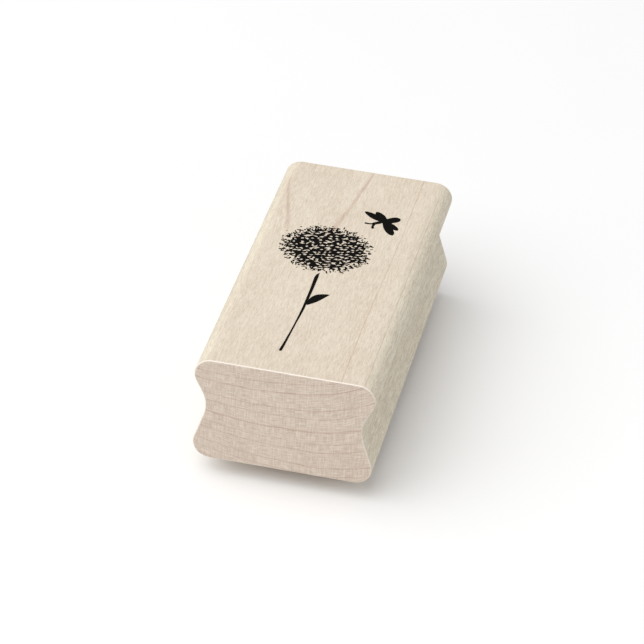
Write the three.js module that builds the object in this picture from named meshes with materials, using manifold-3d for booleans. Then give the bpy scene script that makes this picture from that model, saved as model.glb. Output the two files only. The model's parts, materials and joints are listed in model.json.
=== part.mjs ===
// A wood-mounted rubber stamp, in millimetres, +Z up.
// A hardwood block with a finger cove along each long side carries, under its flat base, a foam cushion
// and a trimmed rubber die, each held by a film of adhesive. The die's raised picture, a round speckled
// flower with a thin stem, one leaf and a winged insect, is printed in ink on top of the block as well.
// The origin is under the middle of the block, on the printing face, where the stamp stands. +Y runs
// along the block to the flower's top, and +X is to the right as the picture is read.

import * as THREE from "three";
import { mergeVertices } from "three/addons/utils/BufferGeometryUtils.js";
import Module from "manifold-3d";

// Hardwood block
const BLOCK_LENGTH = 80;
const BLOCK_WIDTH = 38;
const BLOCK_HEIGHT = 24.7;
const TOP_RADIUS = 3.8; // rounding along the block's top long edges
const BASE_RADIUS = 3.7; // rounding along its bottom long edges
const COVE_DEPTH = 2.5; // how far the finger coves reach in from the sides
const COVE_RADIUS = 7.7;
const COVE_HEIGHT = 13.2; // of the cove's deepest line, above the block's base
const SANDED_EDGE = 0.3; // softening of the sawn ends' edges

// Layers from the table up to the block
const RELIEF_DEPTH = 1.0;
const DIE_BASE = 1.1;
const ADHESIVE = 0.1;
const CUSHION = 2.0;
const INK = 0.05;

const DIE_TOP = RELIEF_DEPTH + DIE_BASE;
const CUSHION_BASE = DIE_TOP + ADHESIVE;
const CUSHION_TOP = CUSHION_BASE + CUSHION;
const BLOCK_BASE = CUSHION_TOP + ADHESIVE;
const BLOCK_TOP = BLOCK_BASE + BLOCK_HEIGHT;

// The picture, seen from above
const HEAD = { x: -2.6, y: 7.2, rx: 10.2, ry: 9.1, tufts: 52, gaps: 130 };
const STEM = { x: -2.0, top: -2.7, foot: -32.5, lean: 0.9, topWidth: 0.75, waist: 0.4, footWidth: 0.55 };
const LEAF = { x: -1.3, y: -15.2, length: 6.1, width: 1.7, angle: 0.31 * Math.PI };
const INSECT = { x: 7.4, y: 21.0, span: 5.6 };
const TRIM = 1.4; // how far outside the picture the rubber is cut

const GOLDEN_ANGLE = Math.PI * (3 - Math.sqrt(5));
const ARC_STEPS = 6;

const wasm = await Module();
wasm.setup();

// ---- Helpers ----

// A repeatable number from 0 to 1 for each whole number n.
function scatter(n) {
  const s = Math.sin(n * 12.9898 + 4.1414) * 43758.5453;
  return s - Math.floor(s);
}

// A flat shape as a plate from one height to another.
function plate(shape, bottom, top) {
  const geometry = new THREE.ExtrudeGeometry(shape, {
    depth: top - bottom,
    bevelEnabled: false,
    curveSegments: ARC_STEPS,
  });
  return geometry.translate(0, 0, bottom);
}

function toManifold(geometry) {
  const bare = geometry.clone();
  bare.deleteAttribute("normal");
  bare.deleteAttribute("uv");
  const merged = mergeVertices(bare, 1e-4);
  return new wasm.Manifold(
    new wasm.Mesh({
      numProp: 3,
      vertProperties: new Float32Array(merged.attributes.position.array),
      triVerts: new Uint32Array(merged.index.array),
    }),
  );
}

function toGeometry(solid) {
  const mesh = solid.getMesh();
  const geometry = new THREE.BufferGeometry();
  geometry.setAttribute("position", new THREE.BufferAttribute(mesh.vertProperties, 3));
  geometry.setIndex(new THREE.BufferAttribute(mesh.triVerts, 1));
  geometry.computeVertexNormals();
  return geometry;
}

function join(geometries) {
  return toGeometry(geometries.map(toManifold).reduce((whole, next) => whole.add(next)));
}

// Several flat shapes joined into one plate.
function joinedPlate(shapes, bottom, top) {
  return join(shapes.map((shape) => plate(shape, bottom, top)));
}

// An ellipse, drawn in quarter turns.
function ellipse(x, y, rx, ry) {
  const shape = new THREE.Shape();
  for (let quarter = 0; quarter < 4; quarter++) {
    shape.absellipse(x, y, rx, ry, (quarter * Math.PI) / 2, ((quarter + 1) * Math.PI) / 2);
  }
  return shape;
}

// A pointed leaf or wing, from its root out to its tip. Its belly sets where it is widest.
function blade(x, y, length, width, angle, belly = 0.45) {
  const along = new THREE.Vector2(Math.cos(angle), Math.sin(angle));
  const across = new THREE.Vector2(-along.y, along.x);
  const root = new THREE.Vector2(x, y);
  const at = (u, v) => root.clone().addScaledVector(along, u * length).addScaledVector(across, v * width);
  const tip = at(1, 0);
  const shape = new THREE.Shape([root, at(0.06, -0.12)]);
  for (const side of [-1, 1]) {
    const start = side < 0 ? at(belly, -1) : at(belly, 1);
    const end = side < 0 ? tip : at(0.06, 0.12);
    shape.quadraticCurveTo(start.x, start.y, end.x, end.y);
  }
  return shape;
}

// A bar of a given half width from one point to another, with round ends.
function bar(ax, ay, bx, by, halfWidth) {
  const turn = Math.atan2(by - ay, bx - ax);
  const shape = new THREE.Shape();
  shape.absarc(bx, by, halfWidth, turn - Math.PI / 2, turn + Math.PI / 2);
  shape.absarc(ax, ay, halfWidth, turn + Math.PI / 2, turn + (3 * Math.PI) / 2);
  return shape;
}

// ---- The picture ----

// A point of the flower head, at a turn about its middle and a share of the way out to its rim.
function headPoint(turn, reach) {
  return new THREE.Vector2(
    HEAD.x + HEAD.rx * reach * Math.cos(turn),
    HEAD.y + HEAD.ry * reach * Math.sin(turn),
  );
}

// The round flower: a ragged rim of tufts, with a sunflower pattern of small slanting gaps inside it.
function flowerHead() {
  const rim = [];
  for (let i = 0; i < 2 * HEAD.tufts; i++) {
    const reach = i % 2 ? 0.88 + 0.03 * scatter(i) : 0.94 + 0.06 * scatter(i);
    rim.push(headPoint((i / HEAD.tufts) * Math.PI, reach));
  }
  const shape = new THREE.Shape(rim);
  for (let k = 0; k < HEAD.gaps; k++) {
    const middle = headPoint(k * GOLDEN_ANGLE, 0.83 * Math.sqrt((k + 0.5) / HEAD.gaps));
    const slant = Math.PI * scatter(k + 500);
    const along = new THREE.Vector2(Math.cos(slant), Math.sin(slant));
    along.setLength(0.3 + 0.16 * scatter(k + 900));
    const across = new THREE.Vector2(-along.y, along.x).setLength(0.17 + 0.1 * scatter(k + 1300));
    const corners = [[1, -1], [1, 1], [-1, 1], [-1, -1]].map(([u, v]) =>
      middle.clone().addScaledVector(along, u).addScaledVector(across, v),
    );
    shape.holes.push(new THREE.Path(corners));
  }
  return shape;
}

// A thin stem, narrowest below its middle, leaning to the left at its foot.
function stem() {
  const waistY = STEM.foot + 0.35 * (STEM.top - STEM.foot);
  const footX = STEM.x - STEM.lean;
  const waistX = STEM.x - 0.25 * STEM.lean;
  const shape = new THREE.Shape();
  shape.moveTo(footX - STEM.footWidth / 2, STEM.foot);
  shape.lineTo(footX + STEM.footWidth / 2, STEM.foot);
  shape.quadraticCurveTo(waistX + STEM.waist / 2, waistY, STEM.x + STEM.topWidth / 2, STEM.top - 1);
  shape.lineTo(STEM.x + 0.1, STEM.top);
  shape.lineTo(STEM.x - STEM.topWidth / 2, STEM.top - 1.2);
  shape.quadraticCurveTo(waistX - STEM.waist / 2, waistY, footX - STEM.footWidth / 2, STEM.foot);
  return shape;
}

function leaf() {
  return blade(LEAF.x, LEAF.y, LEAF.length, LEAF.width, LEAF.angle);
}

// A plain winged insect seen from above, flying down to the left: body, head, feelers and four wings.
function insect() {
  const { x, y, span } = INSECT;
  const heading = 0.2 * Math.PI;
  const wings = [
    [0.83, 1.0],
    [0.71, 0.75],
    [-0.33, 1.0],
    [-0.2, 0.78],
  ].map(([turn, reach]) => blade(x, y, reach * span, 0.28 * span, turn * Math.PI, 0.62));
  const headX = x - 0.36 * span;
  const headY = y - 0.27 * span;
  const head = ellipse(headX, headY, 0.12 * span, 0.12 * span);
  const body = blade(headX, headY, 1.1 * span, 0.28 * span, heading, 0.65);
  const feelers = [1.02, 1.44].map((turn) => {
    const tipX = headX + 0.32 * span * Math.cos(turn * Math.PI);
    const tipY = headY + 0.32 * span * Math.sin(turn * Math.PI);
    return bar(headX, headY, tipX, tipY, 0.035 * span);
  });
  return [...wings, body, head, ...feelers];
}

// The line that the rubber and the cushion are cut to, a little outside the picture all round.
function trimShapes() {
  const stemHalf = TRIM + STEM.topWidth / 2;
  const footX = STEM.x - STEM.lean;
  const leafTipX = LEAF.x + LEAF.length * Math.cos(LEAF.angle);
  const leafTipY = LEAF.y + LEAF.length * Math.sin(LEAF.angle);
  const neck = new THREE.Shape([
    new THREE.Vector2(HEAD.x, HEAD.y + HEAD.ry + TRIM),
    new THREE.Vector2(INSECT.x - INSECT.span, INSECT.y + 0.6 * TRIM),
    new THREE.Vector2(INSECT.x + INSECT.span, INSECT.y - 2.2 * TRIM),
    new THREE.Vector2(HEAD.x + HEAD.rx + TRIM, HEAD.y),
  ].reverse());
  const flare = new THREE.Shape([
    new THREE.Vector2(HEAD.x - 0.55 * HEAD.rx, HEAD.y - 0.8 * HEAD.ry),
    new THREE.Vector2(STEM.x - stemHalf, STEM.top - 4 * TRIM),
    new THREE.Vector2(STEM.x + stemHalf, STEM.top - 4 * TRIM),
    new THREE.Vector2(HEAD.x + 0.65 * HEAD.rx, HEAD.y - 0.8 * HEAD.ry),
  ]);
  return [
    ellipse(HEAD.x, HEAD.y, HEAD.rx + TRIM, HEAD.ry + TRIM),
    ellipse(INSECT.x, INSECT.y, INSECT.span + 0.8 * TRIM, INSECT.span + 0.8 * TRIM),
    neck,
    flare,
    bar(STEM.x, STEM.top, footX, STEM.foot + stemHalf - TRIM, stemHalf),
    bar(LEAF.x + 0.5, LEAF.y + 1, leafTipX - 0.4, leafTipY - 0.4, 1.3 * TRIM),
  ];
}

// ---- The pieces ----

// The block's end seen square on: two round lobes each side, with a cove between them.
function blockProfile() {
  const half = BLOCK_WIDTH / 2;
  const cove = new THREE.Vector2(half - COVE_DEPTH + COVE_RADIUS, COVE_HEIGHT);
  const lobes = [
    { centre: new THREE.Vector2(half - BASE_RADIUS, BASE_RADIUS), radius: BASE_RADIUS, side: -1 },
    { centre: new THREE.Vector2(half - TOP_RADIUS, BLOCK_HEIGHT - TOP_RADIUS), radius: TOP_RADIUS, side: 1 },
  ];
  // A straight flank touches both a lobe and the cove at this angle on their circles.
  const [low, high] = lobes.map(({ centre, radius, side }) => {
    const gap = cove.clone().sub(centre);
    return Math.atan2(gap.y, gap.x) + side * Math.acos((radius + COVE_RADIUS) / gap.length());
  });
  const [base, top] = lobes.map((lobe) => lobe.centre);
  const shape = new THREE.Shape();
  shape.absarc(base.x, base.y, BASE_RADIUS, -Math.PI / 2, low);
  shape.absarc(cove.x, cove.y, COVE_RADIUS, low + Math.PI, high + Math.PI, true);
  shape.absarc(top.x, top.y, TOP_RADIUS, high, Math.PI / 2);
  shape.absarc(-top.x, top.y, TOP_RADIUS, Math.PI / 2, Math.PI - high);
  shape.absarc(-cove.x, cove.y, COVE_RADIUS, -high, -low, true);
  shape.absarc(-base.x, base.y, BASE_RADIUS, Math.PI - low, (3 * Math.PI) / 2);
  return shape;
}

function woodBlock() {
  const geometry = new THREE.ExtrudeGeometry(blockProfile(), {
    depth: BLOCK_LENGTH - 2 * SANDED_EDGE,
    bevelEnabled: true,
    bevelThickness: SANDED_EDGE,
    bevelSize: SANDED_EDGE,
    bevelOffset: -SANDED_EDGE,
    bevelSegments: 2,
    curveSegments: ARC_STEPS,
  });
  return geometry.rotateX(Math.PI / 2).translate(0, BLOCK_LENGTH / 2 - SANDED_EDGE, BLOCK_BASE);
}

// One moulding: a floor cut to the trim line, with the picture standing down from it to the printing face.
function rubberDie() {
  const floor = trimShapes().map((shape) => plate(shape, RELIEF_DEPTH, DIE_TOP));
  const rooted = RELIEF_DEPTH + DIE_BASE / 2; // the raised picture reaches into the floor, so that they join
  const picture = [flowerHead(), stem(), leaf(), ...insect()].map((shape) => plate(shape, 0, rooted));
  return join([...floor, ...picture]);
}

// ---- Assembly ----

const materials = {
  maple: new THREE.MeshStandardMaterial({ color: "#dccfb9", roughness: 0.72, metalness: 0 }),
  blackInk: new THREE.MeshStandardMaterial({ color: "#15130f", roughness: 0.6, metalness: 0 }),
  adhesive: new THREE.MeshStandardMaterial({ color: "#d9d4bd", roughness: 0.35, metalness: 0 }),
  foam: new THREE.MeshStandardMaterial({ color: "#8d9094", roughness: 0.95, metalness: 0 }),
  redRubber: new THREE.MeshStandardMaterial({ color: "#9c4037", roughness: 0.65, metalness: 0 }),
};

const stamp = new THREE.Group();

function addPiece(name, geometry, material) {
  const mesh = new THREE.Mesh(geometry, material);
  mesh.name = name;
  stamp.add(mesh);
}

addPiece("wood_block", woodBlock(), materials.maple);
addPiece("index_print_flower_head", plate(flowerHead(), BLOCK_TOP, BLOCK_TOP + INK), materials.blackInk);
addPiece("index_print_stem", plate(stem(), BLOCK_TOP, BLOCK_TOP + INK), materials.blackInk);
addPiece("index_print_leaf", plate(leaf(), BLOCK_TOP, BLOCK_TOP + INK), materials.blackInk);
addPiece("index_print_insect", joinedPlate(insect(), BLOCK_TOP, BLOCK_TOP + INK), materials.blackInk);
addPiece("upper_adhesive_film", joinedPlate(trimShapes(), CUSHION_TOP, BLOCK_BASE), materials.adhesive);
addPiece("foam_cushion", joinedPlate(trimShapes(), CUSHION_BASE, CUSHION_TOP), materials.foam);
addPiece("lower_adhesive_film", joinedPlate(trimShapes(), DIE_TOP, CUSHION_BASE), materials.adhesive);
addPiece("rubber_die", rubberDie(), materials.redRubber);

export default stamp;
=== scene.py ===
import json
import math

import bpy
import numpy as np
from mathutils import Matrix, Vector
from mathutils.geometry import delaunay_2d_cdt

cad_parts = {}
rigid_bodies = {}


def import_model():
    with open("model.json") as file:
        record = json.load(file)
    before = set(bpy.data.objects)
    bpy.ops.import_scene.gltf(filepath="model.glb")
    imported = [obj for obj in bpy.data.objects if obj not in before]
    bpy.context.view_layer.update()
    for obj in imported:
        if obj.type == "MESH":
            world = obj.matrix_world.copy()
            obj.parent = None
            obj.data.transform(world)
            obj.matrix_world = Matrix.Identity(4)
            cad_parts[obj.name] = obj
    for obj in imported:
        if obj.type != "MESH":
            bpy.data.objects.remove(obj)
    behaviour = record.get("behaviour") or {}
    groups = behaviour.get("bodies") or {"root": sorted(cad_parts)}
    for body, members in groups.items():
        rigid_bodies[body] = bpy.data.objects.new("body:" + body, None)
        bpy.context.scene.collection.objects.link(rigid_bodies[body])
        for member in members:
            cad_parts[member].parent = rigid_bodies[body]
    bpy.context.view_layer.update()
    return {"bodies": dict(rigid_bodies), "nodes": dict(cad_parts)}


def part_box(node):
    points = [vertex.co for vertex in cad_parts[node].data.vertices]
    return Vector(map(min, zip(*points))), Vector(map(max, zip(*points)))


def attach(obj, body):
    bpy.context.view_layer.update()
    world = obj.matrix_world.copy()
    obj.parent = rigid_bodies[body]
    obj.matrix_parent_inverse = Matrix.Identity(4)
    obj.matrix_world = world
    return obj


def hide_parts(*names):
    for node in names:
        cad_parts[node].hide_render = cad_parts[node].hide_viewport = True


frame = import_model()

# A wood-mounted rubber stamp. Lengths are in millimetres here, and in metres once they reach a mesh.
MM = 0.001
FULL_TURN = 2 * math.pi
BODY = sorted(frame["bodies"])[0]
HEIGHTS = {name: [corner[2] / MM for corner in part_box(name)] for name in frame["nodes"]}  # bottom and top

# Hardwood block
TOP_RADIUS = 3.8
BASE_RADIUS = 3.7
COVE_DEPTH = 2.5
COVE_RADIUS = 7.7
COVE_HEIGHT = 13.2
EDGE_ROUND = 0.27  # the sanded edges of the sawn ends

# The picture, seen from above
HEAD = {"x": -2.6, "y": 7.2, "rx": 10.2, "ry": 9.1}
INSECT = {"x": 7.4, "y": 21.0, "reach": 5.6}
STEM = [  # x, y and half width, from the tip down to the foot
    (-1.57, -2.6, 0.04),
    (-1.80, -3.4, 0.28),
    (-1.87, -4.3, 0.41),
    (-1.85, -5.6, 0.39),
    (-1.79, -9.5, 0.33),
    (-1.83, -12.5, 0.30),
    (-1.86, -16.5, 0.27),
    (-2.00, -19.5, 0.22),
    (-2.17, -22.2, 0.17),
    (-2.31, -24.8, 0.18),
    (-2.47, -27.2, 0.21),
    (-2.64, -29.8, 0.26),
    (-2.86, -32.3, 0.31),
]
INK_SINK = 0.02  # how deep the ink goes into the wood
INK_SLACK = 0.01  # how far its top stays below the CAD ink's

# The layers under the block
TRIM = 1.4  # how far outside the picture they are cut
RELIEF = [(0.0, 0.0), (0.07, 0.22), (0.16, 0.5), (0.4, 1.0)]  # distance out from the picture's edge, height
OUTLINE_STEP = 0.16  # between the points of their outline

# Fields: their lowest and highest x and y, how far apart their points are, and the distance in an empty one
RELIEF_BOX, RELIEF_STEP = (-15.5, -35.5, 15.5, 29), 0.1
TRIM_BOX, TRIM_STEP = (-17, -37, 17, 31), 0.2
PICTURE_STEP = 0.07
FAR = 3.0

# Colours. The tints multiply the maple's.
MAPLE_LIGHT = (0.835, 0.745, 0.620)
MAPLE_DARK = (0.600, 0.510, 0.402)
MAPLE_EDGE_HIGHLIGHT = (0.96, 0.88, 0.80)  # painted highlight on the sanded edges of the sawn ends
END_TINT = (0.893, 0.864, 0.888)
SIDE_TINT = (0.982, 1.012, 0.995)
SHOULDER_HIGHLIGHT_TINT = (1.06, 1.09, 1.08)  # painted light: the rounded top edges are made paler where they face up
CLOUD_TINT = (1.0, 0.965, 0.955)
LINE_TINT = (0.84, 0.745, 0.725)
INK_DENSE = (0.0030, 0.0026, 0.0020)
INK_WORN = (0.018, 0.0145, 0.0105)
RUBBER_DEEP = (0.36, 0.072, 0.05)
RUBBER_PALE = (0.47, 0.115, 0.08)
RUBBER_CHALK = (0.58, 0.27, 0.22)
FOAM_SKIN = (0.33, 0.34, 0.355)
# painted shade in the hollows of the cut foam bubbles
FOAM_CAVITY_SHADE = (0.13, 0.135, 0.145)
FOAM_PALE = (0.42, 0.43, 0.44)
FILM_LIGHT = (0.70, 0.67, 0.55)
FILM_DARK = (0.56, 0.53, 0.43)
LINT = (0.30, 0.28, 0.25)
PAPER_DARK = (0.93, 0.93, 0.93)
PAPER_LIGHT = (0.95, 0.95, 0.95)

# Growth lines in the maple: how deep the first one is, how far apart they are, and the one above them
RING_START = 4.03
RING_PITCH = 2.65
INNER_RING = 0.149

# Floor, light and camera, in metres and degrees, and the lens in millimetres
FLOOR_REACH = 3.0
FLOOR_DROP = 2e-5  # how far it is below the stamp
LIGHT_AIM = Vector((0, 0, 0.01))
WORLD_LIGHT = 0.51
CAMERA_PLACE = (0.108928, -0.542916, 0.399645)
CAMERA_AZIMUTH = 11.4502
CAMERA_ELEVATION = 34.7948
CAMERA_ROLL = 2.8931
CAMERA_LENS = 175.084
CAMERA_SENSOR = 36.0


# ---- Flat shapes as signed distances on a grid, negative inside ----

class Field:
    """Signed distances to what is drawn in it, on a grid of points a step apart."""

    def __init__(self, x0, y0, x1, y1, step):
        self.x = np.arange(x0, x1 + step / 2, step)
        self.y = np.arange(y0, y1 + step / 2, step)
        self.step = step
        self.d = np.full((len(self.y), len(self.x)), FAR)

    def stroke(self, a, b, wa, wb, reach=0.8):
        """A tapering stroke from a to b, of half widths wa and wb. Its distances count within its reach."""
        a, b = np.array(a[:2], float), np.array(b[:2], float)
        low = np.minimum(a, b) - wa - wb - reach
        high = np.maximum(a, b) + wa + wb + reach
        i = slice(*np.searchsorted(self.x, (low[0], high[0])))
        j = slice(*np.searchsorted(self.y, (low[1], high[1])))
        gx, gy = np.meshgrid(self.x[i], self.y[j])
        along = b - a
        t = ((gx - a[0]) * along[0] + (gy - a[1]) * along[1]) / max(along @ along, 1e-9)
        t = np.clip(t, 0, 1)
        d = np.hypot(gx - a[0] - t * along[0], gy - a[1] - t * along[1]) - wa - (wb - wa) * t
        self.d[j, i] = np.minimum(self.d[j, i], d)

    def polygon(self, points, blend=0.0):
        """A closed outline, joined to what is there with a fillet of about blend."""
        gx, gy = np.meshgrid(self.x, self.y)
        squared = np.full(gx.shape, 1e9)
        for a, b in zip(points, np.roll(points, -1, 0)):
            e = b - a
            t = np.clip(((gx - a[0]) * e[0] + (gy - a[1]) * e[1]) / max(e @ e, 1e-12), 0, 1)
            squared = np.minimum(squared, (gx - a[0] - t * e[0]) ** 2 + (gy - a[1] - t * e[1]) ** 2)
        self.join(np.where(within(points, gx, gy), -1, 1) * np.sqrt(squared), blend)

    def join(self, d, blend=0.0):
        """Adds another shape's distances, with a fillet of about blend where the two meet."""
        if blend <= 0:
            self.d = np.minimum(self.d, d)
            return
        h = np.clip(0.5 + 0.5 * (self.d - d) / blend, 0, 1)
        self.d = self.d * (1 - h) + d * h - blend * h * (1 - h)

    def soften(self):
        """Rounds the corners a little, as ink and moulded rubber do."""
        p = np.pad(self.d, 1, mode="edge")
        self.d = (p[:-2, 1:-1] + p[2:, 1:-1] + p[1:-1, :-2] + p[1:-1, 2:] + 2 * self.d) / 6

    def loops(self, level, tolerance, least_area=0.004):
        """The closed outlines at this distance, as lists of points."""
        v = self.d - level
        v = np.where(np.abs(v) < 1e-9, 1e-9, v)
        # where the outlines cross the grid's lines, and the number of each crossing
        across = (v[:, :-1] > 0) != (v[:, 1:] > 0)
        upward = (v[:-1] > 0) != (v[1:] > 0)
        across_id, upward_id = np.full(across.shape, -1), np.full(upward.shape, -1)
        across_id[across] = np.arange(across.sum())
        upward_id[upward] = across.sum() + np.arange(upward.sum())
        j, i = np.nonzero(across)
        t = v[j, i] / (v[j, i] - v[j, i + 1])
        points = [np.stack([self.x[i] + t * self.step, self.y[j]], 1)]
        j, i = np.nonzero(upward)
        t = v[j, i] / (v[j, i] - v[j + 1, i])
        points.append(np.stack([self.x[i], self.y[j] + t * self.step], 1))
        points = np.concatenate(points)
        # the crossings on each cell's low, right, high and left edge, joined in pairs
        edges = np.stack([across_id[:-1], upward_id[:, 1:], across_id[1:], upward_id[:, :-1]], -1)
        count = (edges >= 0).sum(-1)
        pairs = [np.sort(edges[count == 2], 1)[:, 2:]]
        for j, i in zip(*np.nonzero(count == 4)):
            low, right, high, left = edges[j, i]
            middle = v[j:j + 2, i:i + 2].mean()
            split = (v[j, i] > 0) == (middle > 0)
            pairs.append(np.array([[low, right], [high, left]] if split else [[low, left], [high, right]]))
        # the pairs, followed from crossing to crossing
        beside = [[] for _ in points]
        for a, b in np.concatenate(pairs):
            beside[a].append(b)
            beside[b].append(a)
        seen, found = np.zeros(len(points), bool), []
        for first in range(len(points)):
            if seen[first]:
                continue
            loop, here = [], first
            while not seen[here]:
                seen[here] = True
                loop.append(here)
                here = next((n for n in beside[here] if not seen[n]), here)
            ring = points[loop]
            if len(ring) > 3 and abs(area(ring)) > least_area:
                found.append(simplified(ring, tolerance))
        return [ring for ring in found if len(ring) > 2]


def within(ring, x, y):
    """Whether each point lies inside the ring."""
    inside = np.zeros(np.shape(x), bool)
    for a, b in zip(ring, np.roll(ring, -1, 0)):
        if a[1] != b[1]:
            crosses = (a[1] > y) != (b[1] > y)
            inside ^= crosses & (x < a[0] + (y - a[1]) * (b[0] - a[0]) / (b[1] - a[1]))
    return inside


def area(ring):
    """The area inside the ring, negative where it runs clockwise."""
    x, y = ring[:, 0], ring[:, 1]
    return 0.5 * float(np.sum(x * np.roll(y, -1) - np.roll(x, -1) * y))


def simplified(ring, tolerance):
    """The ring with only the points it needs to stay within tolerance of its old self."""
    far = int(np.argmax(np.hypot(*(ring - ring[0]).T)))
    closed = np.vstack([ring, ring[:1]])
    keep = np.zeros(len(closed), bool)
    keep[[0, far, len(ring)]] = True
    spans = [(0, far), (far, len(ring))]
    while spans:
        a, b = spans.pop()
        if b - a < 2:
            continue
        along = closed[b] - closed[a]
        rest = closed[a + 1:b] - closed[a]
        length = np.hypot(*along)
        if length < 1e-9:
            stray = np.hypot(*rest.T)
        else:
            stray = np.abs(along[0] * rest[:, 1] - along[1] * rest[:, 0]) / length
        worst = int(np.argmax(stray))
        if stray[worst] > tolerance:
            keep[a + 1 + worst] = True
            spans += [(a, a + 1 + worst), (a + 1 + worst, b)]
    return ring[keep[:-1]]


def triangulated(rings, outer=None):
    """Points, triangles inside the outer ring, ring edges, and which ring point each point was, or -1."""
    points = np.concatenate(rings)
    edges, start = [], 0
    for ring in rings:
        n = len(ring)
        edges += [(start + k, start + (k + 1) % n) for k in range(n)]
        start += n
    made = delaunay_2d_cdt([tuple(p) for p in points], edges, [], 1, 1e-7, True)
    out = np.array([tuple(p) for p in made[0]])
    origin = [o[0] if o else -1 for o in made[3]]
    kept = {tuple(sorted(e)) for e, o in zip(made[1], made[4]) if o}
    triangles = [list(t) for t in made[2]]
    if outer is not None:
        middle = out[np.array(triangles)].mean(1)
        triangles = [t for t, keep in zip(triangles, within(outer, middle[:, 0], middle[:, 1])) if keep]
    return out, triangles, kept, origin


def regions(triangles, walls):
    """Walls divide the triangles into areas: each triangle's area number, and how many areas there are."""
    shared = {}
    for k, t in enumerate(triangles):
        for a, b in zip(t, t[1:] + t[:1]):
            shared.setdefault(tuple(sorted((a, b))), []).append(k)
    number = [-1] * len(triangles)
    count = 0
    for first in range(len(triangles)):
        if number[first] >= 0:
            continue
        stack = [first]
        number[first] = count
        while stack:
            k = stack.pop()
            t = triangles[k]
            for edge in zip(t, t[1:] + t[:1]):
                edge = tuple(sorted(edge))
                if edge in walls:
                    continue
                for other in shared[edge]:
                    if number[other] < 0:
                        number[other] = count
                        stack.append(other)
        count += 1
    return number, count


def sampled(field, points):
    """The field's distance at each point."""
    u = np.clip((points[:, 0] - field.x[0]) / field.step, 0, len(field.x) - 1.001)
    v = np.clip((points[:, 1] - field.y[0]) / field.step, 0, len(field.y) - 1.001)
    i, j = u.astype(int), v.astype(int)
    u, v = u - i, v - j
    d = field.d
    low = d[j, i] * (1 - u) + d[j, i + 1] * u
    high = d[j + 1, i] * (1 - u) + d[j + 1, i + 1] * u
    return low * (1 - v) + high * v


def filled(field, rings):
    """The shape inside the field's rings, as points and triangles."""
    points, triangles, walls, _ = triangulated(rings)
    number, count = regions(triangles, walls)
    corners = points[np.array(triangles)]
    size = np.abs(np.cross(corners[:, 1] - corners[:, 0], corners[:, 2] - corners[:, 0]))
    depth = np.bincount(number, size * sampled(field, corners.mean(1)), count)
    return points, [t for t, n in zip(triangles, number) if depth[n] < 0]


def counter_clockwise(points, triangle):
    """The triangle, turned round if it runs clockwise."""
    a, b, c = (points[k] for k in triangle)
    turn = (b[0] - a[0]) * (c[1] - a[1]) - (b[1] - a[1]) * (c[0] - a[0])
    return triangle if turn > 0 else triangle[::-1]


def rim_edges(triangles):
    """The edges that only one triangle has, turned as it turns."""
    once = {}
    for t in triangles:
        for a, b in zip(t, t[1:] + t[:1]):
            once[(a, b)] = True
    return [e for e in once if (e[1], e[0]) not in once]


# ---- Pieces ----

def make(name, vertices, faces, material, node, slot, normals=None):
    """A piece in millimetres that stands for a CAD node and rides with it."""
    mesh = bpy.data.meshes.new(name)
    mesh.from_pydata([tuple(float(c) * MM for c in v) for v in vertices], [], faces)
    mesh.validate()
    mesh.update()
    if normals is not None:
        mesh.shade_smooth()
        mesh.normals_split_custom_set_from_vertices([tuple(map(float, n)) for n in normals])
    mesh.materials.append(material)
    piece = bpy.data.objects.new(name, mesh)
    bpy.context.scene.collection.objects.link(piece)
    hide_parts(node)
    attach(piece, BODY)
    return piece


def plate(points, triangles, bottom, top):
    """A flat shape as a closed plate: its vertices and faces."""
    triangles = [counter_clockwise(points, t) for t in triangles]
    n = len(points)
    vertices = [(x, y, bottom) for x, y in points] + [(x, y, top) for x, y in points]
    faces = [[k + n for k in t] for t in triangles] + [t[::-1] for t in triangles]
    faces += [[a, b, b + n, a + n] for a, b in rim_edges(triangles)]
    return vertices, faces


def curve(a, b, c, d):
    """A cubic curve from a to d, pulled towards b and c."""
    t = np.linspace(0, 1, 18)[:, None]
    a, b, c, d = map(np.array, (a, b, c, d))
    return (1 - t) ** 3 * a + 3 * t * (1 - t) ** 2 * b + 3 * t ** 2 * (1 - t) * c + t ** 3 * d


def wing(root, tip, half_width, belly, blunt):
    """The outline of a wing: narrow at its root, widest at its belly, blunt at its tip."""
    root, tip = np.array(root, float), np.array(tip, float)
    length = np.hypot(*(tip - root))
    along = (tip - root) / length
    side = np.array([-along[1], along[0]])
    t = np.linspace(0, 1, 16)
    swell = np.sin(np.minimum(t / belly, 1) * math.pi / 2) ** 0.9
    close = (1 - np.clip((t - belly) / (1 - belly), 0, 1) ** (1 / blunt)) ** blunt
    half = half_width * np.where(t < belly, swell, close)
    middle = root + np.outer(t * length, along)
    return np.vstack([middle + np.outer(half, side), (middle - np.outer(half, side))[::-1]])


def head_point(turn, reach):
    """A point of the flower head: reach is 0 at its middle and 1 at its rim."""
    return HEAD["x"] + HEAD["rx"] * reach * math.cos(turn), HEAD["y"] + HEAD["ry"] * reach * math.sin(turn)


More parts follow.
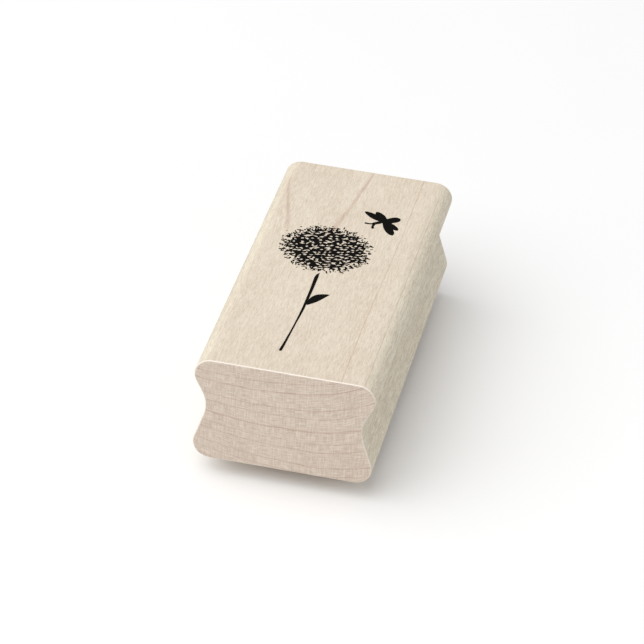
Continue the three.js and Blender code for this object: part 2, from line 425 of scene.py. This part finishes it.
def draw_head(field):
    """The round flower: a ragged disc cut by short bent slits, and a fringe of ticks and dots."""
    rng = np.random.default_rng(11)

    def tick(x, y, a, length, wa, wb, where=field):
        where.stroke((x, y), (x + length * math.cos(a), y + length * math.sin(a)), wa, wb)

    def lean(turn):
        """The head is a little fuller at its lower right."""
        return 0.055 * math.cos(turn + 1.0)

    # the disc
    rim, corners = 0.81, 120
    turns = [FULL_TURN * (k + rng.uniform(-0.3, 0.3)) / corners for k in range(corners)]
    field.polygon(np.array([head_point(turn, rim + lean(turn) + rng.normal(0, 0.045)) for turn in turns]))

    # the slits, in rows that slope up to the right
    slits = Field(field.x[0], field.y[0], field.x[-1], field.y[-1], field.step)
    slope, row_pitch, pitch = 0.29, 0.90, 1.22
    for row in range(-12, 13):
        for column in range(-9, 10):
            along = (column + 0.5 * (row % 2)) * pitch + rng.normal(0, 0.26)
            aside = row * row_pitch + rng.normal(0, 0.15)
            a = slope + rng.normal(0, 0.42)
            length, w = rng.uniform(0.5, 1.45), rng.uniform(0.155, 0.285)
            bend, fork, skip = rng.normal(0, 0.24), rng.random(), rng.random()
            if skip < 0.07:
                continue
            x = HEAD["x"] + along * math.cos(slope) - aside * math.sin(slope)
            y = HEAD["y"] + along * math.sin(slope) + aside * math.cos(slope)
            dx, dy = math.cos(a) * length / 2, math.sin(a) * length / 2
            middle = (x - dy * bend, y + dx * bend)
            slits.stroke((x - dx, y - dy), middle, w * 0.2, w)
            slits.stroke(middle, (x + dx, y + dy), w, w * 0.15)
            if fork < 0.35:
                a += rng.choice([-1, 1]) * rng.uniform(0.8, 1.9)
                tick(*middle, a, rng.uniform(0.3, 0.8), w * 0.8, w * 0.2, slits)
    field.d = np.maximum(field.d, -slits.d)

    # the fringe
    for ring, count in ((0.81, 85), (0.87, 95), (0.92, 85)):
        for k in range(count):
            turn = FULL_TURN * k / count + rng.normal(0, 0.05)
            w = rng.uniform(0.12, 0.23) * (1.6 - 0.65 * ring / 0.8)
            start = head_point(turn, ring + lean(turn) + rng.normal(0, 0.025))
            tick(*start, turn + rng.normal(0, 0.8), rng.uniform(0.2, 0.75), w, w * rng.uniform(0.2, 1.0))
    for k in range(70):
        turn = rng.uniform(0, FULL_TURN)
        reach = rng.uniform(0.91, 0.985) if rng.random() < 0.8 else rng.uniform(0.985, 1.05)
        w = rng.uniform(0.06, 0.15)
        start = head_point(turn, reach + 0.5 * lean(turn))
        tick(*start, turn + rng.normal(0, 0.6), rng.uniform(0, 0.22), w, w * 0.8)
    field.soften()


def draw_stem(field):
    """A thin stem, thickest near its tip."""
    for a, b in zip(STEM, STEM[1:]):
        field.stroke(a, b, a[2], b[2], 1.2)


def draw_leaf(field):
    """One leaf, from the stem up to the right."""
    base, tip = (-1.5, -15.05), (2.4, -9.95)
    upper = curve(base, (-1.9, -11.4), (-0.4, -10.1), tip)
    lower = curve(tip, (1.4, -11.5), (0.7, -13.4), base)
    field.polygon(np.vstack([upper, lower[1:-1]]))
    field.soften()


def draw_insect(field):
    """A plain winged insect seen from above, flying down to the left."""
    x, y = INSECT["x"], INSECT["y"]
    wings = [  # root, tip, half width, where it is widest, how blunt its tip is
        ((0.5, -0.4), (-4.95, 2.75), 0.92, 0.5, 0.62),
        ((0.7, -0.2), (-2.45, 3.3), 0.86, 0.55, 0.55),
        ((-0.4, 0.2), (2.9, -4.95), 0.92, 0.62, 0.52),
        ((-0.2, 0.5), (3.6, -2.7), 0.72, 0.62, 0.5),
        ((-1.2, -0.9), (3.25, 1.95), 1.02, 0.72, 0.5),
    ]
    for root, tip, half_width, belly, blunt in wings:
        root, tip = (x + root[0], y + root[1]), (x + tip[0], y + tip[1])
        field.polygon(wing(root, tip, half_width, belly, blunt), 0.12)
    strokes = [  # head and feelers: from, to, half width at each
        ((-1.0, -0.75), (-2.0, -1.45), 0.5, 0.4),
        ((-2.1, -1.6), (-2.95, -1.8), 0.23, 0.2),
        ((-2.95, -1.8), (-3.75, -1.75), 0.2, 0.27),
        ((-1.9, -1.7), (-2.05, -2.6), 0.32, 0.25),
        ((-2.05, -2.6), (-1.9, -3.2), 0.25, 0.32),
    ]
    for a, b, wa, wb in strokes:
        field.stroke((x + a[0], y + a[1]), (x + b[0], y + b[1]), wa, wb, 1.2)
    field.soften()


def trim_outline():
    """The line that the rubber, foam and adhesive are cut to: one smooth scissor cut round the picture."""
    field, stem, leaf = (Field(*TRIM_BOX, TRIM_STEP) for _ in range(3))
    turn = np.linspace(0, FULL_TURN, 90, endpoint=False)
    circle = np.stack([np.cos(turn), np.sin(turn)], 1)
    field.polygon((HEAD["x"], HEAD["y"]) + circle * (HEAD["rx"], HEAD["ry"]))
    field.polygon((INSECT["x"], INSECT["y"]) + circle * (INSECT["reach"] - 0.3), 2.5)
    stem.stroke(STEM[0], STEM[-1], 0.4, 0.3, 6)
    leaf.stroke((-0.8, -14.2), (1.8, -10.4), 0.4, 0.3, 6)
    field.join(stem.d, 2.5)
    field.join(leaf.d, 1.6)
    gx, gy = np.meshgrid(field.x, field.y)
    field.d += 0.07 * np.sin(0.9 * gx + 0.4 * gy) * np.sin(0.7 * gy + 1)
    field.d += 0.04 * np.sin(1.9 * gy - 1.3 * gx)
    ring = max(field.loops(TRIM, tolerance=0.02), key=lambda r: abs(area(r)))
    return ring if area(ring) > 0 else ring[::-1]


def evenly(ring, spacing):
    """The ring again, with points a given distance apart."""
    closed = np.vstack([ring, ring[:1]])
    run = np.concatenate([[0], np.cumsum(np.hypot(*np.diff(closed, axis=0).T))])
    count = int(run[-1] / spacing)
    s = np.linspace(0, run[-1], count, endpoint=False)
    return np.stack([np.interp(s, run, closed[:, 0]), np.interp(s, run, closed[:, 1])], 1)


def outward(ring):
    """Unit normals of a counter-clockwise ring."""
    along = np.roll(ring, -1, 0) - np.roll(ring, 1, 0)
    along /= np.hypot(*along.T)[:, None]
    return np.stack([along[:, 1], -along[:, 0]], 1)


def cut_slab(ring, levels, wander):
    """A slab with this outline. Its edge has levels of (height, how far out), and wanders in and out."""
    n, normal = len(ring), outward(ring)
    vertices, faces = [], []
    for k, (z, out) in enumerate(levels):
        shift = out + wander(k)
        vertices += [(x, y, z) for x, y in ring + normal * shift[:, None]]
    for low in range(0, (len(levels) - 1) * n, n):
        high = low + n
        faces += [[low + a, low + (a + 1) % n, high + (a + 1) % n, high + a] for a in range(n)]
    for k, up in ((0, False), (len(levels) - 1, True)):
        flat = np.array(vertices[k * n:(k + 1) * n])[:, :2]
        _, triangles, _, origin = triangulated([flat], flat)
        for t in triangles:
            t = counter_clockwise(flat, [origin[c] for c in t])
            faces.append([k * n + c for c in (t if up else t[::-1])])
    return vertices, faces


def wavy(count, seed, size, waves):
    """A repeatable wandering offset round a ring: a sum of sines of so few to so many waves."""
    rng = np.random.default_rng(seed)
    s = np.linspace(0, FULL_TURN, count, endpoint=False)
    total = np.zeros(count)
    for _ in range(14):
        total += rng.normal() * np.sin(rng.integers(*waves) * s + rng.uniform(0, 6.3))
    return size * total / 3.7  # the sum's usual size is about 3.7 / sqrt(2)


# ---- The hardwood block ----

def block_profile(half, height):
    """The block's end, counter-clockwise: points and outward normals."""
    cove = np.array([half - COVE_DEPTH + COVE_RADIUS, COVE_HEIGHT])
    base = np.array([half - BASE_RADIUS, BASE_RADIUS])
    top = np.array([half - TOP_RADIUS, height - TOP_RADIUS])

    def flank(centre, radius, side):
        gap = cove - centre
        return math.atan2(gap[1], gap[0]) + side * math.acos((radius + COVE_RADIUS) / np.hypot(*gap))

    low, high = flank(base, BASE_RADIUS, -1), flank(top, TOP_RADIUS, 1)

    def arc(centre, radius, start, end, count, inward=False):
        a = np.linspace(start, end, count)
        ray = np.stack([np.cos(a), np.sin(a)], 1)
        return centre + radius * ray, -ray if inward else ray

    right = [
        arc(base, BASE_RADIUS, -math.pi / 2, low, 22),
        arc(cove, COVE_RADIUS, low + math.pi, high + math.pi, 26, True),
        arc(top, TOP_RADIUS, high, math.pi / 2, 22),
    ]
    points = np.vstack([p for p, _ in right])
    normals = np.vstack([n for _, n in right])
    mirror = np.array([-1, 1])
    return np.vstack([points, points[::-1] * mirror]), np.vstack([normals, normals[::-1] * mirror])


def block(material):
    """The moulding between its two sawn ends, whose sanded edges are rounded in a few steps."""
    low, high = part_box("wood_block")
    half, length = (high[0] - low[0]) / MM / 2, (high[1] - low[1]) / MM
    base, height = low[2] / MM, (high[2] - low[2]) / MM
    points, normals = block_profile(half, height)
    n = len(points)
    soft = EDGE_ROUND + np.clip(wavy(n, seed=5, size=0.05, waves=(2, 9)), -0.12, 0.12)
    vertices, directions, faces = [], [], []
    steps = np.linspace(0, math.pi / 2, 7)
    rings = [(-1, a) for a in steps] + [(1, a) for a in steps[::-1]]  # the end, and how far round its edge
    for end, a in rings:
        inset = soft * (1 - math.sin(a))
        back = soft * (1 - math.cos(a))
        flat = points - normals * inset[:, None]
        y = end * (length / 2 - back)
        vertices += [(flat[k, 0], y[k], base + flat[k, 1]) for k in range(n)]
        directions += [(math.sin(a) * nx, end * math.cos(a), math.sin(a) * nz) for nx, nz in normals]
    for r in range(len(rings) - 1):
        for k in range(n):
            a, b = r * n + k, r * n + (k + 1) % n
            faces.append([a, a + n, b + n, b])
    faces.append(list(range(n)))
    faces.append([(len(rings) - 1) * n + k for k in reversed(range(n))])
    make("maple_block", vertices, faces, material, "wood_block", "maple", normals=directions)


# ---- Materials ----

class Wire:
    """One number or vector in a material's node tree, which Python arithmetic extends with math nodes."""

    def __init__(self, paint, socket):
        self.paint, self.socket = paint, socket

    def __add__(self, other):
        return self.paint.math("ADD", self, other)

    def __sub__(self, other):
        return self.paint.math("SUBTRACT", self, other)

    def __rsub__(self, other):
        return self.paint.math("SUBTRACT", other, self)

    def __mul__(self, other):
        return self.paint.math("MULTIPLY", self, other)

    def __truediv__(self, other):
        return self.paint.math("DIVIDE", self, other)


class Paint:
    """A procedural material, laid out in the object's own coordinates in millimetres."""

    def __init__(self, name, **shader):
        self.material = bpy.data.materials.new(name)
        self.material.use_nodes = True
        self.tree = self.material.node_tree
        self.shader = self.tree.nodes["Principled BSDF"]
        for key, value in shader.items():
            self.shader.inputs[key.replace("_", " ")].default_value = value
        where = self.tree.nodes.new("ShaderNodeTexCoord")
        split = self.tree.nodes.new("ShaderNodeSeparateXYZ")
        self.tree.links.new(where.outputs["Object"], split.inputs[0])
        self.x, self.y, self.z = (Wire(self, split.outputs[k]) * 1000 for k in range(3))
        facing = self.tree.nodes.new("ShaderNodeSeparateXYZ")
        self.tree.links.new(where.outputs["Normal"], facing.inputs[0])
        self.facing = [Wire(self, facing.outputs[k]) for k in range(3)]

    def put(self, node, key, value):
        """Links a wire to a node's input, or sets the input to a number. None leaves it alone."""
        if isinstance(value, Wire):
            self.tree.links.new(value.socket, node.inputs[key])
        elif value is not None:
            node.inputs[key].default_value = value

    def node(self, kind, inputs, **settings):
        """A new node with these settings, and these values or wires in its inputs."""
        node = self.tree.nodes.new("ShaderNode" + kind)
        for key, value in settings.items():
            setattr(node, key, value)
        for key, value in inputs.items():
            self.put(node, key, value)
        return node

    def math(self, operation, a, b=None):
        return Wire(self, self.node("Math", {0: a, 1: b}, operation=operation).outputs[0])

    def ramp(self, value, start, end, low=0.0, high=1.0):
        """Low up to start, high from end on, and a smooth step between."""
        inputs = {0: value, 1: start, 2: end, 3: low, 4: high}
        return Wire(self, self.node("MapRange", inputs, interpolation_type="SMOOTHSTEP").outputs[0])

    def point(self, x, y, z):
        """A point in noise space, where a pattern's period is about 1."""
        return Wire(self, self.node("CombineXYZ", {0: x, 1: y, 2: z}).outputs[0])

    def at(self, sx, sy, sz, shift=0.0):
        """A point in noise space, which has so many periods for each millimetre along x, y and z."""
        return self.point(self.x * sx + shift, self.y * sy + shift, self.z * sz + shift)

    def noise(self, point, detail=2.0, roughness=0.5):
        """From -1 to 1, about 0."""
        inputs = {"Vector": point, "Scale": 1.0, "Detail": detail, "Roughness": roughness}
        return Wire(self, self.node("TexNoise", inputs).outputs[0]) * 2 - 1

    def cells(self, point):
        """The distance to the nearest of many scattered points."""
        return Wire(self, self.node("TexVoronoi", {"Vector": point, "Scale": 1.0}).outputs["Distance"])

    def mix(self, share, a, b, blend="MIX"):
        """Colour a with a share of colour b, from 0 to 1."""
        a, b = (c if isinstance(c, Wire) else (*c, 1.0) for c in (a, b))
        node = self.node("Mix", {0: share, 6: a, 7: b}, data_type="RGBA", blend_type=blend)
        return Wire(self, node.outputs[2])

    def finish(self, colour, roughness, height=None):
        """The material, with this surface. Height is in micrometres."""
        self.put(self.shader, "Base Color", colour)
        self.put(self.shader, "Roughness", roughness)
        if height is not None:
            bump = self.node("Bump", {"Strength": 1.0, "Distance": 1e-6, "Height": height})
            self.tree.links.new(bump.outputs[0], self.shader.inputs["Normal"])
        return self.material


def growth_ring(p, depth):
    """How deep into the tree's rings a point lies, in mm. Each ring is a shallow trough along the block."""
    sway = p.noise(p.at(0.07, 0.014, 0.07), 2.0) * 0.25 + p.noise(p.at(0.3, 0.03, 0.3, 7.0), 2.0) * 0.14
    aside = p.math("ABSOLUTE", p.x + 10.0 - depth * 0.5)
    slope = p.ramp(p.x, -2.0, 10.0, 2.6, 0.5)
    return (p.math("POWER", aside, 2.0) - slope * p.y) / 120.0 + depth + sway


def growth_lines(p, depth, ring, ends, sides):
    """How dark the growth lines are at a point: lines a ring apart, and two more on the top's far half."""
    thin = p.noise(p.at(0.12, 0.05, 0.12, 3.0), 2.0) * 0.03 + ends * 0.055 + 0.075  # half a line's width

    def line(away, width, soft=1.2):
        return 1.0 - p.ramp(p.math("ABSOLUTE", away) / width, 0.0, soft)

    past = ring - RING_START
    phase = past / RING_PITCH + p.math("SINE", past * 0.9) * 0.2
    between = (p.math("FRACT", phase + 8.5) - 0.5) * RING_PITCH
    regular = line(between, thin, 1.4) * p.ramp(ring, 1.9, 2.4) * (1.0 - sides * 0.6) * (ends * 0.1 + 1.0)

    inner = line(ring - INNER_RING, thin * 1.2) * p.ramp(p.x, -9.0, -6.0) * p.ramp(p.y, 8.0, 15.0)

    slant = p.noise(p.at(0.1, 0.14, 0.1, 4.0), 1.0) * 0.2 + p.x - p.ramp(p.y, 10.0, 33.0, -12.3, -16.4)
    keep = p.ramp(p.y, 9.0, 15.0) * (1.0 - p.ramp(p.y, 30.0, 36.0)) * (1.0 - p.ramp(depth, 1.0, 4.0))
    outer = line(slant, thin * p.ramp(p.y, 14.0, 24.0, 9.0, 6.0)) * keep * 0.8

    fade = p.ramp(p.noise(p.at(0.2, 0.06, 0.2, 21.0), 2.0), -0.35, 0.35, 0.7, 1.0)
    return p.math("MAXIMUM", p.math("MAXIMUM", regular, inner), outer) * fade


def maple(top):
    """Pale hard maple, sawn flat: growth rings dip under its top, and fibres and pores run along it."""
    p = Paint("maple_wood", Specular_IOR_Level=0.25)
    depth = top - p.z

    # where the sawn ends and the long sides are, the painted light on the top's shoulders, and the painted
    # highlight on the sanded edges of the ends
    across, along = (p.math("ABSOLUTE", p.facing[k]) for k in (0, 1))
    upward = p.math("MAXIMUM", p.facing[2], 0.0)
    ends = p.ramp(along, 0.75, 0.97)
    grain = 1.0 - ends
    sides = p.ramp(across, 0.4, 0.95) * grain
    # mask for painted light on the top's rounded shoulders, strongest where they face up
    shoulder_highlight = p.ramp(across, 0.2, 0.5) * (1.0 - p.ramp(across, 0.55, 0.85)) * upward * grain
    # mask for the painted highlight: the sanded edges of the ends
    edge = along * p.math("SQRT", p.math("MAXIMUM", 1.0 - along * along, 0.0)) * 2.0

    # fibres and pores along the block, and on its ends streaks that follow the rings, crossed by rays
    ring = growth_ring(p, depth)
    line = growth_lines(p, depth, ring, ends, sides)
    fibre = p.noise(p.at(3.2, 0.3, 3.2), 3.0, 0.6)
    fine = p.noise(p.at(5.0, 0.6, 5.0, 5.0), 2.0, 0.6)
    fleck = p.noise(p.at(2.3, 0.3, 2.3, 13.0), 2.0, 0.6)
    pore = 1.0 - p.ramp(p.cells(p.at(3.1, 0.16, 3.1)), 0.08, 0.3)
    speckle = p.noise(p.at(4.2, 1.6, 4.2, 1.0), 2.0, 0.6)
    streak = p.noise(p.point(p.x * 0.4, ring * 4.8, p.y * 0.05), 3.0, 0.7)
    ray = p.noise(p.point(p.x * 4.4, ring * 0.35, p.y * 0.8), 3.0, 0.65)
    cloud = p.noise(p.at(0.11, 0.035, 0.11, 2.0), 3.0)
    figure = p.noise(p.at(0.5, 0.16, 0.5, 9.0), 2.0)

    tone = cloud * 0.3 + figure * (sides * 0.05 + 0.17) + pore * 0.15 + speckle * (sides * 0.7 + 0.55) + 0.5
    tone = tone + (fibre * 0.8 + fine * 0.8 + fleck * (sides + 0.2)) * grain
    tone = tone + (streak * 1.9 + ray * 1.4) * ends
    colour = p.mix(p.ramp(tone, -0.4, 1.4), MAPLE_LIGHT, MAPLE_DARK)
    for share, tint in (
        (p.ramp(cloud, -0.4, 0.6) * 0.3, CLOUD_TINT),
        (line, LINE_TINT),
        (ends, END_TINT),
        (sides, SIDE_TINT),
        (shoulder_highlight, SHOULDER_HIGHLIGHT_TINT),
    ):
        colour = p.mix(share, colour, tint, "MULTIPLY")
    # painted highlight on the sanded edges of the ends: a little on every edge, and most where they face up
    colour = p.mix(edge * (upward * 0.8 + 0.3), colour, MAPLE_EDGE_HIGHLIGHT)
    roughness = fine * 0.06 + fibre * 0.06 + ends * 0.08 + 0.6
    height = (fibre * 7.0 + fine * 4.0) * (sides * 1.2 + 1.0) + fleck * sides * 25.0
    height = height - pore * 6.0 - line * 2.0 + (streak * 5.0 + speckle * 3.0) * ends
    return p.finish(colour, roughness, height)


def ink():
    """Black stamping ink, dense and matt, thinned a little along the grain."""
    p = Paint("stamping_ink", Specular_IOR_Level=0.09)
    grain = p.noise(p.at(3.0, 0.4, 3.0), 4.0, 0.6)
    blot = p.noise(p.at(1.4, 1.4, 1.4, 3.0), 3.0, 0.55)
    worn = p.ramp(grain * 0.6 + blot * 0.5, 0.25, 0.9)
    return p.finish(p.mix(worn, INK_DENSE, INK_WORN), grain * 0.06 + 0.82, grain * 2.0 + blot)


def rubber():
    """Moulded red rubber: slightly chalky, with a fine matt skin and a few paler specks."""
    p = Paint("red_rubber", Specular_IOR_Level=0.35)
    cloud = p.noise(p.at(0.25, 0.25, 0.25), 3.0)
    skin = p.noise(p.at(7.0, 7.0, 7.0, 2.0), 3.0, 0.6)
    speck = 1.0 - p.ramp(p.cells(p.at(1.6, 1.6, 1.6, 4.0)), 0.05, 0.11)
    deep = p.ramp(p.z, 0.15, 1.0)
    colour = p.mix(p.ramp(cloud * 0.7 + skin * 0.3, -0.7, 0.8), RUBBER_DEEP, RUBBER_PALE)
    colour = p.mix(deep * 0.22 + speck * 0.3, colour, RUBBER_CHALK)
    roughness = cloud * 0.05 + skin * 0.06 + deep * 0.08 + 0.58
    return p.finish(colour, roughness, skin * 4.0 + cloud * 3.0 - speck * 2.0)


def foam():
    """Grey closed-cell foam: fine bubbles, cut open where the scissors went, with painted shade in their
    hollows.
    """
    p = Paint("cushion_foam", Specular_IOR_Level=0.2)
    bubble = p.cells(p.at(3.4, 3.4, 3.8))
    small = p.cells(p.at(8.0, 8.0, 8.0, 6.0))
    cloud = p.noise(p.at(0.5, 0.5, 0.5), 3.0)
    # the bubbles' hollows, darkened with painted shade; the same mask roughens them and sinks them in the
    # bump
    cavity = (1.0 - p.ramp(bubble, 0.12, 0.5)) * 0.8 + (1.0 - p.ramp(small, 0.1, 0.45)) * 0.35
    colour = p.mix(cavity, FOAM_SKIN, FOAM_CAVITY_SHADE)
    colour = p.mix(p.ramp(cloud, -0.5, 0.6) * 0.25, colour, FOAM_PALE)
    return p.finish(colour, cloud * 0.04 + cavity * 0.05 + 0.86, cavity * -55.0 + cloud * 6.0)


def adhesive():
    """Milky pressure-sensitive film, with the odd speck of lint at its cut edge."""
    p = Paint("adhesive_film", Specular_IOR_Level=0.45)
    cloud = p.noise(p.at(0.8, 0.8, 4.0), 3.0)
    lint = 1.0 - p.ramp(p.cells(p.at(0.7, 0.7, 0.7, 8.0)), 0.04, 0.1)
    colour = p.mix(p.ramp(cloud, -0.5, 0.6), FILM_LIGHT, FILM_DARK)
    colour = p.mix(lint * 0.5, colour, LINT)
    return p.finish(colour, cloud * 0.08 + lint * 0.2 + 0.38, cloud * 5.0 + lint * 8.0)


def paper():
    """The pale table top under the stamp."""
    p = Paint("floor_paper", Specular_IOR_Level=0.0)
    cloud = p.noise(p.at(0.02, 0.02, 0.02), 2.0)
    return p.finish(p.mix(p.ramp(cloud, -1.0, 1.0), PAPER_DARK, PAPER_LIGHT), 1.0)


# ---- The printed picture and the layers under the block ----

PICTURE = [  # piece, node, the lowest and highest x and y of its field, and what draws it
    ("ink_flower_head", "index_print_flower_head", (-14.6, -3.8, 9.4, 18.2), draw_head),
    ("ink_stem", "index_print_stem", (-4.5, -34.5, 0.5, -1.0), draw_stem),
    ("ink_leaf", "index_print_leaf", (-3.5, -17, 4.2, -8), draw_leaf),
    ("ink_insect", "index_print_insect", (1.5, 14, 13.5, 27), draw_insect),
]


def ink_patch(name, node, field, material):
    """One part of the printed picture, as a thin plate of ink sunk a little into the wood."""
    bottom, top = HEIGHTS[node]
    points, triangles = filled(field, field.loops(0.0, tolerance=0.012))
    make(name, *plate(points, triangles, bottom - INK_SINK, top - INK_SLACK), material, node, "black_ink")


def cushion(outline, material):
    """The foam between the films. Its cut edge bulges a little."""
    low, high = HEIGHTS["foam_cushion"]
    levels = [(low, -0.03)]
    for t in (0.15, 0.35, 0.5, 0.65, 0.85):
        levels.append((low + (high - low) * t, 0.05 * math.sin(math.pi * t)))
    levels.append((high, -0.03))
    shape = cut_slab(outline, levels, lambda k: wavy(len(outline), seed=20 + k, size=0.02, waves=(60, 300)))
    piece = make("cushion_of_foam", *shape, material, "foam_cushion", "foam")


def film(name, node, seed, outline, material):
    """A film of adhesive, cut a little short of the foam."""
    levels = [(z, -0.04) for z in HEIGHTS[node]]
    shape = cut_slab(outline, levels, lambda k: wavy(len(outline), seed, size=0.02, waves=(5, 60)))
    make(name, *shape, material, node, "adhesive")


def whole_picture(parts):
    """All parts of the picture in one field."""
    whole = Field(*RELIEF_BOX, RELIEF_STEP)
    gx, gy = np.meshgrid(whole.x, whole.y)
    grid = np.stack([gx.ravel(), gy.ravel()], 1)
    for part in parts:
        inside = (grid[:, 0] > part.x[0]) & (grid[:, 0] < part.x[-1])
        inside &= (grid[:, 1] > part.y[0]) & (grid[:, 1] < part.y[-1])
        distances = np.full(len(grid), FAR)
        distances[inside] = sampled(part, grid[inside])
        whole.join(distances.reshape(gx.shape))
    return whole


def die(picture, outline, material):
    """The rubber die. The picture's outlines at several heights make its sloping walls."""
    # the printing face, the walls, and the floor round them
    rings, heights = [], []
    for out, height in RELIEF:
        for ring in picture.loops(out, tolerance=0.02, least_area=0.01):
            rings.append(ring)
            heights += [height] * len(ring)
    rings.append(outline)
    floor = RELIEF[-1][1]
    heights += [floor] * len(outline)
    points, triangles, _, origin = triangulated(rings, outline)
    vertices = [(x, y, heights[o] if o >= 0 else floor) for (x, y), o in zip(points, origin)]
    faces = [counter_clockwise(points, t)[::-1] for t in triangles]

    # the cut side, from the floor's rim up to the flat back
    rim = rim_edges(faces)
    above = {}
    for a, b in rim:
        for k in (a, b):
            if k not in above:
                above[k] = len(vertices)
                vertices.append((*points[k], HEIGHTS["rubber_die"][1]))
    faces += [[b, a, above[a], above[b]] for a, b in rim]

    # the back
    following = dict(rim)
    loop, here = [], rim[0][0]
    while here not in loop:
        loop.append(here)
        here = following[here]
    flat = points[loop]
    _, triangles, _, origin = triangulated([flat], flat)
    faces += [[above[loop[origin[c]]] for c in counter_clockwise(flat, t)] for t in triangles]
    make("die_of_rubber", vertices, faces, material, "rubber_die", "red_rubber")


wood = maple(HEIGHTS["wood_block"][1])
black = ink()
red = rubber()
grey = foam()
sticky = adhesive()

block(wood)
parts = []
for name, node, extent, draw in PICTURE:
    field = Field(*extent, PICTURE_STEP)
    draw(field)
    ink_patch(name, node, field, black)
    parts.append(field)
outline = evenly(trim_outline(), OUTLINE_STEP)
cushion(outline, grey)
film("film_above_foam", "upper_adhesive_film", 31, outline, sticky)
film("film_below_foam", "lower_adhesive_film", 32, outline, sticky)
die(whole_picture(parts), outline, red)


# ---- Floor, light and camera, in metres ----

def table_top(material):
    """A square floor, a hair under the stamp."""
    mesh = bpy.data.meshes.new("floor")
    signs = ((-1, -1), (1, -1), (1, 1), (-1, 1))
    corners = [(x * FLOOR_REACH, y * FLOOR_REACH, -FLOOR_DROP) for x, y in signs]
    mesh.from_pydata(corners, [], [[0, 1, 2, 3]])
    mesh.materials.append(material)
    made = bpy.data.objects.new("floor", mesh)
    bpy.context.scene.collection.objects.link(made)


def softbox(name, place, size, power):
    """A round soft light that points at the stamp."""
    light = bpy.data.lights.new(name, "AREA")
    light.shape, light.size, light.energy = "DISK", size, power
    lamp = bpy.data.objects.new(name, light)
    bpy.context.scene.collection.objects.link(lamp)
    away = Vector(place) - LIGHT_AIM
    lamp.matrix_world = Matrix.Translation(place) @ away.to_track_quat("Z", "Y").to_matrix().to_4x4()


table_top(paper())
softbox("key_softbox", (-0.70, -0.50, 1.50), 2.4, 27.8)
softbox("fill_softbox", (0.75, -0.55, 0.45), 0.8, 0.45)
world = bpy.data.worlds.new("studio")
world.use_nodes = True
world.node_tree.nodes["Background"].inputs["Color"].default_value = (1.0, 1.0, 1.0, 1.0)
world.node_tree.nodes["Background"].inputs["Strength"].default_value = WORLD_LIGHT
bpy.context.scene.world = world
bpy.context.scene.view_settings.view_transform = "Standard"

camera = bpy.data.cameras.new("camera")
camera.lens, camera.sensor_width = CAMERA_LENS, CAMERA_SENSOR
camera.clip_start, camera.clip_end = 0.05, 20.0
eye = bpy.data.objects.new("camera", camera)
bpy.context.scene.collection.objects.link(eye)
turned = Matrix.Rotation(math.radians(CAMERA_AZIMUTH), 4, "Z")
tilted = Matrix.Rotation(math.radians(90 - CAMERA_ELEVATION), 4, "X")
rolled = Matrix.Rotation(math.radians(CAMERA_ROLL), 4, "Z")
eye.matrix_world = Matrix.Translation(CAMERA_PLACE) @ turned @ tilted @ rolled
bpy.context.scene.camera = eye
